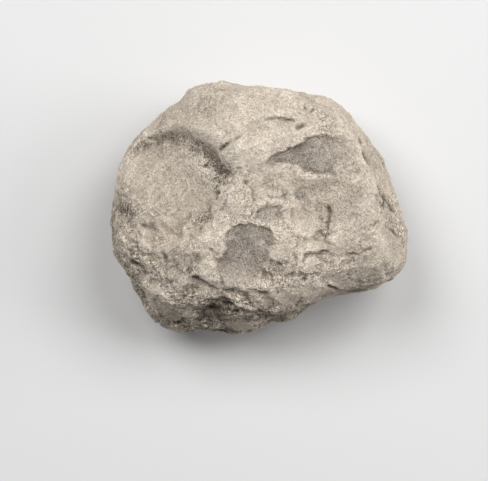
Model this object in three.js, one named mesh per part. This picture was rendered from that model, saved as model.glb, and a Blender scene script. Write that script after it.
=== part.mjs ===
// A hand specimen of chalk: one broken lump, a little longer than it is wide and about half as thick.
//
// The lump lies on the flattest part of its back. Its upper face is a low dome with a broad scoop knocked
// out of it on the -X side, a crest along the scoop's rim, and shallow flake scars on the +X side. The -Y
// flank slopes and is the roughest, the +Y flank is steep, and thin beds show as ledges round the rim.
//
// Row frame: millimetres, +Z up, origin at the bottom centre of the bounding box, +X along the length.
// The lump starts as a ball of small triangles, and each corner is carried out to the outline and the
// profile. Swells, facets, chips, scars and flakes then shape it, rough lumps cover it, and thin beds step
// its flanks in.
import * as THREE from "three";
import { ImprovedNoise } from "three/addons/math/ImprovedNoise.js";
import { mergeVertices } from "three/addons/utils/BufferGeometryUtils.js";

// Overall sizes, in millimetres.
const LENGTH = 106;
const WIDTH = 92;
const THICKNESS = 48.5;
const GIRTH_HEIGHT = 20; // the lump is widest at this height
const GIRTH_WANDER = 2.5; // and the widest line climbs and falls by this much as it goes round
const SEAT_CUT = 2.4; // how much of the back is broken off flat, where the lump rests

// Fineness of the mesh: the ball has 20 * (RINGS + 1)^2 triangles, squashed and drawn upwards so that
// they come out even, and a little finer on the upper face.
const RINGS = 21;
const BALL_SQUASH = 0.62;
const UPWARD_PULL = 0.06;

// The widest outline seen from above, anticlockwise from +X, as shares of half the length and half the width.
// prettier-ignore
const OUTLINE = [
  [1.0, -0.24], [0.985, -0.4], [0.9, -0.53], [0.8, -0.6], [0.62, -0.66], [0.45, -0.7], [0.31, -0.78],
  [0.22, -0.88], [0.05, -0.925], [-0.12, -0.97], [-0.32, -1.0], [-0.42, -0.97], [-0.535, -1.0],
  [-0.64, -0.95], [-0.73, -0.86], [-0.77, -0.74], [-0.86, -0.59], [-0.955, -0.4], [-0.995, -0.22],
  [-1.0, -0.01], [-0.965, 0.19], [-0.935, 0.36], [-0.87, 0.54], [-0.74, 0.67], [-0.6, 0.8], [-0.49, 0.9],
  [-0.41, 0.985], [-0.25, 1.0], [-0.02, 0.965], [0.23, 0.96], [0.37, 0.91], [0.5, 0.85], [0.62, 0.73],
  [0.75, 0.56], [0.83, 0.4], [0.89, 0.19], [0.97, -0.04],
];

// How round the flank is in eight directions, anticlockwise from +X: low is boxy, 1 is an ellipse.
const ROUNDNESS_ABOVE = [0.38, 0.46, 0.34, 0.5, 0.46, 0.56, 0.62, 0.3];
const ROUNDNESS_BELOW = [0.7, 0.62, 0.55, 0.7, 0.75, 0.66, 0.6, 0.7];

// Broad swells and dips of the upper face: where, how far they spread, and how far they rise.
const SWELLS = [
  { name: "crest", at: [-9, 18], spread: 10, rise: 3.4 },
  { name: "north_slope", at: [4, 38], spread: 11, rise: -2.0 },
  { name: "north_west_slope", at: [-30, 34], spread: 9, rise: -1.4 },
  { name: "middle_dip", at: [14, 6], spread: 10, rise: -2.0 },
  { name: "right_plate", at: [33, -4], spread: 10, rise: 1.4 },
  { name: "lower_left", at: [-38, -16], spread: 12, rise: -3.0 },
  { name: "centre_rib", at: [-20, -13], spread: 6, rise: 2.2 },
  { name: "lower_rib", at: [14, -24], spread: 7, rise: 1.4 },
  { name: "lower_right", at: [35, -26], spread: 7, rise: -2.0 },
  { name: "right_corner", at: [46, -14], spread: 6, rise: 2.0 },
];

// Rough lumps all over the stone: wavelength and height of each size of lump, and how chipped it is:
// 0 swells and sinks softly, 1 has sharp ridges between hollows, as broken chalk has.
const LUMPS = [
  { wave: 19, height: 1.3, chipped: 0.2 },
  { wave: 8.5, height: 1.7, chipped: 0.85 },
  { wave: 4.6, height: 1.2, chipped: 0.7 },
];
const LUMP_SIDEWAYS = 0.45; // the share of a lump's push that may move the outline
const SMOOTH_PATCHES = [
  // Fresh scars and the scoop's floor broke smoother than the rest: the share of the lumps that they keep.
  { name: "scoop_floor", at: [-31, 8], radius: 15, keeps: 0.35 },
  { name: "upper_scar", at: [18, 18], radius: 12, keeps: 0.3 },
  { name: "centre_scar", at: [-5, -15], radius: 9, keeps: 0.3 },
  { name: "right_plate", at: [33, -3], radius: 10, keeps: 0.5 },
];

// Flat broken faces round the flanks and under the lump: direction that the face looks, its pitch above
// the horizon, the height on the flank where it bites, and how deep.
const FACETS = [
  { name: "south_face", bearing: 262, pitch: 30, height: 33, bite: 2.2 },
  { name: "south_west_face", bearing: 222, pitch: 32, height: 34, bite: 1.9 },
  { name: "east_face", bearing: 14, pitch: 34, height: 37, bite: 1.6 },
  { name: "north_east_face", bearing: 48, pitch: 34, height: 39, bite: 1.2 },
  { name: "north_west_face", bearing: 133, pitch: 52, height: 41, bite: 1.6 },
  { name: "west_face", bearing: 178, pitch: 34, height: 37, bite: 1.0 },
  { name: "under_south", bearing: 285, pitch: -38, height: 7, bite: 3.0 },
  { name: "under_west", bearing: 195, pitch: -42, height: 7, bite: 2.8 },
  { name: "under_north", bearing: 100, pitch: -35, height: 8, bite: 2.6 },
  { name: "under_east", bearing: 20, pitch: -40, height: 7, bite: 3.2 },
  { name: "under_north_west", bearing: 148, pitch: -48, height: 6, bite: 2.0 },
];
const FACET_ROUNDING = 0.5; // how far from a facet's edge the stone starts to bend into it

// Smaller broken faces in rows round the flanks: the row's height, the bearings, and how deep they bite.
const CHIPS = [
  { name: "shoulder", height: 42, bearings: [25, 68, 98, 118, 158, 196, 212, 243, 281], bite: 0.9 },
  { name: "upper_flank", height: 33, bearings: [27, 82, 112, 150, 190, 205, 241, 287], bite: 0.8 },
  {
    name: "lower_flank",
    height: 9,
    bearings: [2, 38, 64, 84, 122, 160, 182, 214, 240, 262, 306, 336],
    bite: 1.4,
  },
  { name: "under_edge", height: 4, bearings: [52, 110, 172, 228, 274, 318, 356], bite: 1.2 },
];

// Shell-shaped scars, each the hollow that one knocked-off piece leaves: the middle of the scar, its two
// rim radii along X and Y, and its depth. Scars on a flank give a bearing and a height instead of a place,
// and a scar on the upper face may lean, so that its floor looks towards that side.
const SCARS = [
  { name: "scoop_floor", at: [-31, 9], rim: [17, 16], depth: 2.0 },
  { name: "upper_slope", at: [18.5, 17.5], rim: [15, 9], depth: 1.8, lean: [-0.06, -0.22] },
  { name: "centre_slope", at: [-5, -16], rim: [12, 12], depth: 1.7, lean: [-0.06, -0.24] },
  { name: "lower_right_slope", at: [35, -24], rim: [9, 5], depth: 1.2, lean: [0.1, -0.4] },
  { name: "south_hollow", bearing: 256, height: 26, rim: 11, depth: 2.4 },
  { name: "south_east_hollow", bearing: 300, height: 25, rim: 8, depth: 1.2 },
  { name: "west_hollow", bearing: 205, height: 27, rim: 8, depth: 1.5 },
  { name: "east_hollow", bearing: 340, height: 14, rim: 12, depth: 1.8 },
  { name: "north_hollow", bearing: 75, height: 22, rim: 13, depth: 1.8 },
  { name: "north_west_hollow", bearing: 150, height: 16, rim: 12, depth: 2.0 },
  { name: "south_low_hollow", bearing: 240, height: 11, rim: 12, depth: 2.4 },
  { name: "east_low_hollow", bearing: 35, height: 11, rim: 10, depth: 1.6 },
  { name: "under_hollow", under: [24, -8], rim: 14, depth: 2.2 },
  { name: "under_chip", under: [-27, 20], rim: 11, depth: 1.8 },
];

// Flakes split off the upper face: a hand-drawn edge, how deep the floor steps down at that edge, and over
// what width. The floor climbs back to nothing in the direction `runs_out`, in degrees from +X.
const FLAKES = [
  {
    name: "scoop",
    // prettier-ignore
    edge: [
      [-46, 21], [-38, 25.5], [-30, 27.2], [-24, 26], [-19, 23.5], [-15.5, 20], [-12.5, 16],
      [-9.5, 12], [-12, 8], [-14.5, 4], [-16.5, -2], [-22, -9], [-36, -12], [-54, -8], [-56, 12],
    ],
    depth: 5.4,
    wall: 4.6,
    runs_out: 218,
  },
  {
    name: "upper_scar",
    // prettier-ignore
    edge: [
      [1, 16], [10, 20.5], [20.5, 25], [27, 25.3], [31, 23.5], [31.5, 16], [21, 12], [15.5, 12.5],
      [9, 14.5],
    ],
    depth: 1.4,
    wall: 1.8,
    runs_out: 290,
  },
  {
    name: "centre_scar",
    // prettier-ignore
    edge: [
      [-15, -18.5], [-11, -12.5], [-9.5, -8], [-7, -5.5], [-2, -5.5], [2, -7.5], [4.5, -12],
      [2.5, -18], [-3.5, -24.5], [-8, -27], [-12, -26],
    ],
    depth: 1.6,
    wall: 1.8,
    runs_out: 262,
  },
  {
    name: "hollow_left_of_plate",
    // prettier-ignore
    edge: [
      [9, 1], [18, 2], [24.5, 1.5], [24, -4], [24.5, -9.5], [18, -11.5], [11, -8],
    ],
    depth: 1.8,
    wall: 1.8,
    runs_out: 185,
  },
  {
    name: "lower_step",
    // prettier-ignore
    edge: [
      [-28, -29], [-23, -25], [-19.5, -23.5], [-13.5, -27], [-6, -27.5], [2, -28], [6, -34], [-4, -42],
      [-22, -42],
    ],
    depth: 2.2,
    wall: 1.8,
    runs_out: 268,
  },
];

// Beds: heights at which the flanks step in, and by how much, strongest towards `bearing`.
const BEDS = [
  { name: "low_bed", height: 13, step: 0.9, bearing: 250 },
  { name: "middle_bed", height: 27.5, step: 1.0, bearing: 350 },
  { name: "upper_bed", height: 34, step: 1.1, bearing: 15 },
];
const BED_EDGE = 1.0; // height over which a bed's edge steps in

const CHALK = { color: 0xc9c0b1, roughness: 0.95, metalness: 0 };

const TOP_RISE = THICKNESS - GIRTH_HEIGHT;
const FULL_TURN = Math.PI * 2;
const radians = THREE.MathUtils.degToRad;
const { clamp, lerp, smoothstep } = THREE.MathUtils;
const noise = new ImprovedNoise();

// A value given in eight directions, blended smoothly for the bearing `angle` between them.
function roundThe(values, angle) {
  const place = (((angle / FULL_TURN) % 1) + 1) * values.length;
  const before = Math.floor(place);
  const share = smoothstep(place - before, 0, 1);
  return lerp(values[before % values.length], values[(before + 1) % values.length], share);
}

// The outline's distance from the middle at each degree, from a smooth closed curve through its points.
const outlineReach = (() => {
  const corners = OUTLINE.map(([x, y]) => new THREE.Vector3((x * LENGTH) / 2, (y * WIDTH) / 2, 0));
  const curve = new THREE.CatmullRomCurve3(corners, true, "centripetal");
  const around = curve.getPoints(OUTLINE.length * 24).map((p) => ({
    angle: (Math.atan2(p.y, p.x) + FULL_TURN) % FULL_TURN,
    reach: Math.hypot(p.x, p.y),
  }));
  around.sort((a, b) => a.angle - b.angle);
  return (angle) => {
    const wanted = ((angle % FULL_TURN) + FULL_TURN) % FULL_TURN;
    const next = around.findIndex((sample) => sample.angle >= wanted);
    const after = around[next < 0 ? 0 : next];
    const before = around[next <= 0 ? around.length - 1 : next - 1];
    const gap = (after.angle - before.angle + FULL_TURN) % FULL_TURN || 1;
    const share = ((wanted - before.angle + FULL_TURN) % FULL_TURN) / gap;
    return lerp(before.reach, after.reach, clamp(share, 0, 1));
  };
})();

// What the lump's profile is in one direction: how far out, how round, and where its widest line lies.
function profile(angle, above) {
  return {
    reach: outlineReach(angle),
    roundness: roundThe(above ? ROUNDNESS_ABOVE : ROUNDNESS_BELOW, angle),
    girth: GIRTH_HEIGHT + GIRTH_WANDER * Math.sin(angle * 2 + 0.7),
    rise: above ? TOP_RISE : GIRTH_HEIGHT,
  };
}

// The bare lump's point and the way that its surface faces there, from the shares `out` and `up` of its
// reach and its rise; `side` is 1 above the widest line and -1 below it.
function bareLump(angle, out, up, side, { reach, roundness, girth, rise }) {
  const settle = (girth - GIRTH_HEIGHT) * (1 - up); // the widest line wanders, the top and the back don't
  const steep = 2 / roundness - 1;
  return {
    point: new THREE.Vector3(
      Math.cos(angle) * reach * out,
      Math.sin(angle) * reach * out,
      GIRTH_HEIGHT + settle + side * rise * up,
    ),
    facing: new THREE.Vector3(
      (Math.cos(angle) * Math.pow(out, steep)) / reach,
      (Math.sin(angle) * Math.pow(out, steep)) / reach,
      (side * Math.pow(up, steep)) / rise,
    ).normalize(),
  };
}

// Where a ray from the lump's middle leaves the bare lump.
function bareLumpAlong(direction) {
  const angle = Math.atan2(direction.y, direction.x);
  const side = Math.sign(direction.z) || 1;
  const shape = profile(angle, side > 0);
  const across = Math.hypot(direction.x, direction.y) / shape.reach;
  const upwards = Math.abs(direction.z) / shape.rise;
  const power = 2 / shape.roundness;
  const length = Math.pow(Math.pow(across, power) + Math.pow(upwards, power), -1 / power);
  return bareLump(angle, across * length, upwards * length, side, shape);
}

// Where a feature sits: at a plan position on the upper face or the underside, or at a height on a flank.
function seatOf({ at, under, bearing, height }) {
  const above = at !== undefined || height > GIRTH_HEIGHT;
  const plan = at ?? under;
  const angle = plan ? Math.atan2(plan[1], plan[0]) : radians(bearing);
  const shape = profile(angle, above);
  const other = (share) => Math.pow(1 - Math.pow(share, 2 / shape.roundness), shape.roundness / 2);
  const out = plan ? clamp(Math.hypot(...plan) / shape.reach, 0, 1) : undefined;
  const up = plan ? other(out) : Math.abs(height - GIRTH_HEIGHT) / shape.rise;
  return bareLump(angle, out ?? other(up), up, above ? 1 : -1, shape);
}

// Each facet as a plane: whatever stands out beyond it is laid back onto it. Chips are facets too, square
// to the flank where they sit.
const facetPlanes = [
  ...FACETS.map((facet) => {
    const bearing = radians(facet.bearing);
    const pitch = radians(facet.pitch);
    const facing = new THREE.Vector3(
      Math.cos(bearing) * Math.cos(pitch),
      Math.sin(bearing) * Math.cos(pitch),
      Math.sin(pitch),
    );
    return { facing, seat: seatOf(facet).point, bite: facet.bite };
  }),
  ...CHIPS.flatMap(({ height, bearings, bite }) =>
    bearings.map((bearing, i) => {
      const { point, facing } = seatOf({ bearing, height: height + (i % 3) - 1 });
      return { facing, seat: point, bite: bite * (i % 2 ? 1 : 0.7) };
    }),
  ),
].map(({ facing, seat, bite }) => ({ facing, offset: facing.dot(seat) - bite }));

function faceOff(point) {
  for (const { facing, offset } of facetPlanes) {
    const over = facing.dot(point) - offset;
    if (over > -2 * FACET_ROUNDING) {
      point.addScaledVector(facing, -(over + Math.hypot(over, FACET_ROUNDING)) / 2);
    }
  }
}

// Each scar as a ball or an egg that hangs outside the lump and dips into it by the scar's depth.
const scarBalls = SCARS.map((scar) => {
  const { point, facing } = seatOf(scar);
  const [rimX, rimY] = Array.isArray(scar.rim) ? scar.rim : [scar.rim, scar.rim];
  const radius = (rimX * rimX + scar.depth * scar.depth) / (2 * scar.depth);
  const stretch = new THREE.Vector3(1, rimY / rimX, 1);
  const lean = scar.lean ?? [0, 0];
  const outward = scar.at ? new THREE.Vector3(lean[0], lean[1], 1).normalize() : facing;
  const centre = point.clone().addScaledVector(outward, radius - scar.depth);
  return { centre, radius, stretch };
});

function scoopOut(point) {
  for (const { centre, radius, stretch } of scarBalls) {
    const inside = point.clone().sub(centre).divide(stretch);
    if (inside.length() < radius) {
      inside.setLength(radius);
      point.copy(inside.multiply(stretch).add(centre));
    }
  }
}

// Distance from a plan position to a closed edge, negative inside it.
function distanceToEdge(x, y, edge) {
  let nearest = Infinity;
  let inside = false;
  edge.forEach(([ax, ay], i) => {
    const [bx, by] = edge[(i + 1) % edge.length];
    const along = clamp(
      ((x - ax) * (bx - ax) + (y - ay) * (by - ay)) / ((bx - ax) ** 2 + (by - ay) ** 2),
      0,
      1,
    );
    nearest = Math.min(nearest, Math.hypot(x - ax - along * (bx - ax), y - ay - along * (by - ay)));
    const crosses = ay > y !== by > y && x < ((bx - ax) * (y - ay)) / (by - ay) + ax;
    if (crosses) inside = !inside;
  });
  return inside ? -nearest : nearest;
}

// How deep a flake is at a plan position: full at the step, nothing where its floor runs out.
function flakeDepth(x, y, { edge, depth, wall, runs_out }) {
  const away = distanceToEdge(x, y, edge);
  if (away >= wall / 2) return 0;
  const [dx, dy] = [Math.cos(radians(runs_out)), Math.sin(radians(runs_out))];
  const reaches = edge.map(([ex, ey]) => ex * dx + ey * dy);
  const [first, last] = [Math.min(...reaches), Math.max(...reaches)];
  const run = clamp((x * dx + y * dy - first) / (last - first), 0, 1);
  return depth * (1 - run * run) * smoothstep(-away, -wall / 2, wall / 2);
}

function swellAt(x, y) {
  return SWELLS.reduce((sum, { at, spread, rise }) => {
    const away = ((x - at[0]) ** 2 + (y - at[1]) ** 2) / (2 * spread * spread);
    return sum + rise * Math.exp(-away);
  }, 0);
}

function lumpAt({ x, y, z }, facing) {
  const rough = LUMPS.reduce((sum, { wave, height, chipped }) => {
    const soft = noise.noise(x / wave, y / wave, z / wave);
    const sharp = 0.35 - 1.4 * Math.abs(soft);
    return sum + height * lerp(soft, sharp, chipped);
  }, 0);
  const smoothed = SMOOTH_PATCHES.reduce((kept, { at, radius, keeps }) => {
    const away = Math.hypot(x - at[0], y - at[1]) / radius;
    return kept * lerp(keeps, 1, smoothstep(away, 0.6, 1.15));
  }, 1);
  return rough * lerp(1, smoothed, smoothstep(facing.z, 0.2, 0.6));
}

// How far the beds step the flank in at this height and bearing.
function bedStep(point) {
  const angle = Math.atan2(point.y, point.x);
  return BEDS.reduce((sum, { height, step, bearing }) => {
    const strength = 0.6 + 0.4 * Math.cos(angle - radians(bearing));
    const wander = 1.6 * Math.sin(angle * 3 + height);
    return sum + step * strength * smoothstep(point.z - height - wander, -BED_EDGE, BED_EDGE);
  }, 0);
}

// One point of the finished surface, for a direction from the lump's middle.
function surfaceAt(direction) {
  const { point, facing } = bareLumpAlong(direction);
  const upper = smoothstep(facing.z, 0.35, 0.85);
  point.z += upper * swellAt(point.x, point.y);
  faceOff(point);
  scoopOut(point);
  const flakes = FLAKES.reduce((sum, flake) => sum + flakeDepth(point.x, point.y, flake), 0);
  point.z -= smoothstep(facing.z, 0.1, 0.5) * flakes;

  const lump = lumpAt(point, facing);
  const level = Math.hypot(facing.x, facing.y);
  const sideways = lump * lerp(1, LUMP_SIDEWAYS, level);
  point.add(new THREE.Vector3(facing.x * sideways, facing.y * sideways, facing.z * lump));

  const inwards = bedStep(point) * level;
  point.x -= facing.x * inwards;
  point.y -= facing.y * inwards;
  return point;
}

function chalkGeometry() {
  const ball = new THREE.IcosahedronGeometry(1, RINGS);
  ball.deleteAttribute("normal");
  ball.deleteAttribute("uv");
  const geometry = mergeVertices(ball, 1e-5);
  const corners = geometry.getAttribute("position");
  const direction = new THREE.Vector3();
  let lowest = Infinity;
  for (let i = 0; i < corners.count; i++) {
    direction.fromBufferAttribute(corners, i);
    direction.z = direction.z * BALL_SQUASH + UPWARD_PULL;
    const point = surfaceAt(direction.normalize());
    corners.setXYZ(i, point.x, point.y, point.z);
    lowest = Math.min(lowest, point.z);
  }
  // The back is flat where the lump rests.
  const seat = lowest + SEAT_CUT;
  for (let i = 0; i < corners.count; i++) corners.setZ(i, Math.max(corners.getZ(i), seat));

  geometry.computeBoundingBox();
  const { min, max } = geometry.boundingBox;
  geometry.translate(-(min.x + max.x) / 2, -(min.y + max.y) / 2, -min.z);
  geometry.computeVertexNormals();
  return geometry;
}

const specimen = new THREE.Group();
const lump = new THREE.Mesh(chalkGeometry(), new THREE.MeshStandardMaterial(CHALK));
lump.name = "chalk_lump";
specimen.add(lump);

export default specimen;
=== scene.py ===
"""A hand specimen of chalk: one broken lump, lying on the flat of its back on a pale floor.

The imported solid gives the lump's size and its main forms. Its visible skin is a finer copy of that solid,
into which ledges, fresh scars, cracks, chips and grain are cut in that order, and one finish covers it.
In names, north is +Y and east is +X.
"""

import math

import bmesh
import bpy
import numpy as np
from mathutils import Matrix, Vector, noise


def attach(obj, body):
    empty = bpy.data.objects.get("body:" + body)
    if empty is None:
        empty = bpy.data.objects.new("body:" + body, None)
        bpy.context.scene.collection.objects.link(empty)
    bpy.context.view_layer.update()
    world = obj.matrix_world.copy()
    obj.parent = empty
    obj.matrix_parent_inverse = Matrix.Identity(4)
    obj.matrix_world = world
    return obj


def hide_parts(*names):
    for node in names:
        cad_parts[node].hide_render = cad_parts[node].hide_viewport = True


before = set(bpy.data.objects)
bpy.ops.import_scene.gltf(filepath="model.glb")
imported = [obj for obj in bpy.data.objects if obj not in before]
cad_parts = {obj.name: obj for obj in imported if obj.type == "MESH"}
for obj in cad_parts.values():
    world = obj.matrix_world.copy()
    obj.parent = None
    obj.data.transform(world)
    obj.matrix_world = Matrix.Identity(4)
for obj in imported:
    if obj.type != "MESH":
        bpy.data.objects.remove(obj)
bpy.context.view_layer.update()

# --- The lump ---------------------------------------------------------------------------------------------
# One broken block of hard, pale chalk that fills a hand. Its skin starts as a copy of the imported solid,
# rounded off and covered with faces small enough to carry chips and ledges. Places on it are in millimetres.
MM = 0.001
FACE = 0.575  # how large the skin's faces are
WELD = 0.001  # corners closer than this are one


def bake(piece):
    """Turns what a piece's modifiers make into its own plain mesh, and removes them."""
    evaluated = piece.evaluated_get(bpy.context.evaluated_depsgraph_get())
    mesh = bpy.data.meshes.new_from_object(evaluated)
    piece.modifiers.clear()
    piece.data = mesh


def smooth_between(value, low, high):
    """0 up to low, 1 from high on, and a soft climb in between; low may be the larger one."""
    share = np.clip((value - low) / (high - low), 0, 1)
    return share * share * (3 - 2 * share)


stone = bpy.data.objects.new("chalk_stone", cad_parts["chalk_lump"].data.copy())
bpy.context.scene.collection.objects.link(stone)
stone.data.materials.clear()

joined = bmesh.new()
joined.from_mesh(stone.data)
bmesh.ops.remove_doubles(joined, verts=joined.verts, dist=WELD * MM)
joined.to_mesh(stone.data)
joined.free()

rounding = stone.modifiers.new("rounding", "SUBSURF")
rounding.levels = rounding.render_levels = 1
skin = stone.modifiers.new("skin", "REMESH")
skin.mode = "VOXEL"
skin.voxel_size = FACE * MM
bake(stone)


def skin_of(piece):
    """Where the corners of a piece's mesh are, in millimetres, and which way each of them faces."""
    places = np.empty(len(piece.data.vertices) * 3, np.float32)
    piece.data.vertices.foreach_get("co", places)
    normals = np.empty(len(places), np.float32)
    piece.data.vertex_normals.foreach_get("vector", normals)
    return places.reshape(-1, 3).astype(float) / MM, normals.reshape(-1, 3).astype(float)


skin_at, facing = skin_of(stone)
count = len(skin_at)
upward = smooth_between(facing[:, 2], 0.1, 0.5)  # 1 on the upper face, 0 on the flanks and under the lump


def roughness_of(wavelength, seed):
    """Smooth random heights, -1 to 1, over the skin; each seed gives other hills."""
    shifted = skin_at / wavelength + np.array([seed * 3.7, seed * 7.1, seed * 1.3])
    return np.array([noise.noise(place) for place in shifted.tolist()])


# --- Slopes and swells ------------------------------------------------------------------------------------
# The lump's broad forms, a little stronger than in its solid: the steep wall of the big scoop, the full
# shoulders at the rim, the rib between the scoop and the fresh scar, and two hollows in the outline.


def beside(line, places):
    """How far each place lies to the left of a line (less than 0 on its right), and its share along it."""
    starts, steps = np.array(line, float)[:-1], np.diff(np.array(line, float), axis=0)
    lengths = np.hypot(*steps.T)
    travelled = np.concatenate([[0], np.cumsum(lengths)])
    nearest, side, along = np.full(len(places), np.inf), np.zeros(len(places)), np.zeros(len(places))
    for start, step, length, before in zip(starts, steps, lengths, travelled):
        offset = places - start
        share = np.clip(offset @ step / length**2, 0, 1)
        gap = np.hypot(*(offset - share[:, None] * step).T)
        closer = gap < nearest
        nearest = np.where(closer, gap, nearest)
        side = np.where(closer, np.sign(step[0] * offset[:, 1] - step[1] * offset[:, 0]), side)
        along = np.where(closer, (before + share * length) / travelled[-1], along)
    return nearest * side, along


LIP = 0.28  # the share of a step that stands above the ground that was there
LIP_RUN = 2.5  # how far above its edge a step's lip runs out


def ledge_profile(left, wall, run):
    """The height of a step of 1 across its line: a crisp lip at the line, a wall below it that eases out at
    its foot, and on both sides a slow return to the ground that was there."""
    climb = np.clip(1 + left / wall, 0, 1) ** 2
    low_side = (climb - 1) * np.exp(-np.maximum(-left - wall, 0) / run) * (1 - LIP)
    high_side = LIP * np.exp(-np.maximum(left, 0) / LIP_RUN)
    return np.where(left < 0, low_side + LIP * climb, high_side)


# The scoop's rim, from its -X end round to the rib, with the ground outside the scoop on its left.
SCOOP_RIM = [
    (-43.5, 25), (-39.5, 26), (-35, 27), (-31, 27), (-26.5, 27), (-23, 26), (-19.5, 24), (-16.5, 21.5),
    (-14.5, 19), (-12.5, 16), (-10.5, 13.5), (-8.5, 12), (-10, 10), (-12, 7), (-14, 3), (-17, -1),
]
SWELLS = [
    {"at": (-45, 14), "reach": 6, "height": 0.8}, {"at": (-17, -13), "reach": 6, "height": 0.7},
    {"at": (30, -2), "reach": 8, "height": 0.5}, {"at": (-12.5, 43), "reach": 6, "height": -1.2},
    {"at": (-22, 41), "reach": 4, "height": 0.8}, {"at": (-9.5, 15.5), "reach": 3.5, "height": 0.8},
    {"at": (-16, -36.5), "reach": 5, "height": -1.6}, {"at": (-14.5, 7), "reach": 4.2, "height": 1.5},
    {"at": (6.5, 6), "reach": 2.5, "height": 0.6}, {"at": (-17, 13), "reach": 4.5, "height": 1.1},
]

plan = skin_at[:, :2]
lift = np.zeros(count)  # how far the skin moves out along its facing, in millimetres
for swell in SWELLS:
    away = np.hypot(*(plan - swell["at"]).T) / swell["reach"]
    lift += swell["height"] * np.exp(-(away**2)) * smooth_between(facing[:, 2], -0.1, 0.4)

# The lines below wander by these wavelengths and reaches, because chalk breaks raggedly.
WANDERING = ((6.5, 0.7), (2.4, 0.6), (1.2, 0.45))
ragged = np.column_stack([
    sum(reach * roughness_of(wavelength, seed + nth) for nth, (wavelength, reach) in enumerate(WANDERING))
    for seed in (1, 4)
])
plan = plan + ragged

# The flanks unrolled: how far round from +X, anticlockwise, and how high.
FLANK_REACH = 46  # how far the flank usually is from the lump's middle
DEGREE = math.radians(FLANK_REACH)  # the length of one degree round it
unrolled = np.column_stack([np.arctan2(skin_at[:, 1], skin_at[:, 0]) * FLANK_REACH, skin_at[:, 2]]) + ragged
on_flank = smooth_between(facing[:, 2], 0.75, 0.5) * smooth_between(facing[:, 2], -0.8, -0.6)

# Two shallow hollows flatten the front of the outline. Each has a reach along the flank and one up it.
FLANK_HOLLOWS = [
    {"at": (-83, 20), "along": 7, "up": 16, "deep": 2.0},
    {"at": (-37, 20), "along": 5, "up": 14, "deep": 1.0},
]
for hollow in FLANK_HOLLOWS:
    degrees, height = hollow["at"]
    off = (unrolled - (degrees * DEGREE, height)) / (hollow["along"], hollow["up"])
    lift -= hollow["deep"] * np.exp(-(off**2).sum(axis=1)) * on_flank


def round_the_flank(line):
    """A line of (degrees round, height) as places on the unrolled flank."""
    return [(degrees * DEGREE, height) for degrees, height in line]


SCOOP_WALL = {"drop": 1.3, "wall": 1.8, "run": 6}
SCOOP_FOOT = {"below_rim": 7, "reach": 3.8, "height": 0.9}  # the slope eases out here
left_of_rim, along_rim = beside(SCOOP_RIM, plan)
steepness = smooth_between(along_rim, 0.38, 0.62) * smooth_between(along_rim, 1, 0.76) * upward
lift += SCOOP_WALL["drop"] * ledge_profile(left_of_rim, SCOOP_WALL["wall"], SCOOP_WALL["run"]) * steepness
below = (left_of_rim + SCOOP_FOOT["below_rim"]) / SCOOP_FOOT["reach"]
lift += SCOOP_FOOT["height"] * np.exp(-(below**2)) * steepness

# --- Ridges -----------------------------------------------------------------------------------------------
# Crisp edges where two broken faces meet: low ridges along these lines, worn pale by handling. Each has a
# height, and how wide it is from its crest to either side.
RIDGES = {
    "north_east_edge": {
        "line": [(24, 37), (29, 28.5), (34, 20), (37.5, 11.5), (41, 4)],
        "height": 0.7, "wide": 2.2,
    },
    "west_rim": {"line": [(-48, 0), (-47.5, 6.5), (-46.5, 13.5), (-44, 21)], "height": 0.7, "wide": 1.6},
    "crest": {
        "line": [(-13, 16.5), (-7, 19.5), (0.5, 22), (8.5, 25), (15.5, 27.5)],
        "height": 0.5, "wide": 2.0,
    },
    "lower_rib": {"line": [(-15, -18), (-18, -22), (-24, -22.5)], "height": 0.5, "wide": 2.0},
    "corner_foot": {"line": [(26, -21.5), (34, -19.5), (43, -20.5)], "height": 0.5, "wide": 1.8},
    "small_scar_brow": {
        "line": [(-4, -2), (-2, 1.5), (0.5, 2.6), (3.4, 1.9), (8, 1)],
        "height": 0.6, "wide": 1.6,
    },
    "scar_knob": {"line": [(-14.5, -17), (-12.5, -14), (-11, -12.5)], "height": 0.8, "wide": 1.2},
    "plate_lip": {"line": [(21.5, 1.5), (22.3, -1), (22, -5), (21.3, -8.5)], "height": 0.5, "wide": 1.0},
    "slot_lip": {
        "line": [(14.5, -13), (18.5, -12.2), (22.5, -12), (26.5, -10.5)],
        "height": 0.7, "wide": 1.3,
    },
}
ENDS = 0.15  # the share of a line over which a ridge or a ledge dies out, at either end
WORN_PALE = 0.45

bruised = np.zeros(count)  # 1 on pale bruised lips
for ridge in RIDGES.values():
    left, along = beside(ridge["line"], plan)
    shape = np.exp(-np.abs(left) / ridge["wide"]) * smooth_between(along, 0, ENDS)
    shape *= smooth_between(along, 1, 1 - ENDS)
    lift += ridge["height"] * shape * upward
    bruised = np.maximum(bruised, WORN_PALE * shape**2 * upward)

# --- Ledges -----------------------------------------------------------------------------------------------
# Thin plates of chalk broke away along these lines and left low steps, each with its drop, the width of its
# wall and its run back to level ground. To the left of a line, as its points run, the ground stands higher,
# and its lip is bruised pale. Flank lines are in degrees round from +X and millimetres up.
CENTRE_SCAR = [
    (-15.8, -22.8), (-14.8, -19.4), (-13.4, -16), (-12, -13.4), (-12, -10.8), (-10.3, -6.8), (-7.3, -5.6),
    (-5.8, -6.1), (-3.5, -5.3), (0.8, -6.1), (3.4, -7.4), (4.7, -9.5), (5.1, -12.1), (3.7, -15.1),
    (1.2, -19), (-1, -23), (-4, -26.5), (-8, -27.8), (-13.5, -26.5),
]
UPPER_SCAR = [
    (0.6, 15.9), (4.5, 18.4), (10, 20.5), (14, 23), (17.5, 24.5), (21.5, 25.5), (23.5, 24.5), (26, 24.5),
    (30, 25), (31.5, 22), (32, 18), (30, 14), (28, 13), (25.5, 11), (21, 11.5), (17.5, 11.5), (15.5, 12.5),
    (12.5, 14.5), (10, 15), (7.5, 14.6), (3.8, 14.7),
]
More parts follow.
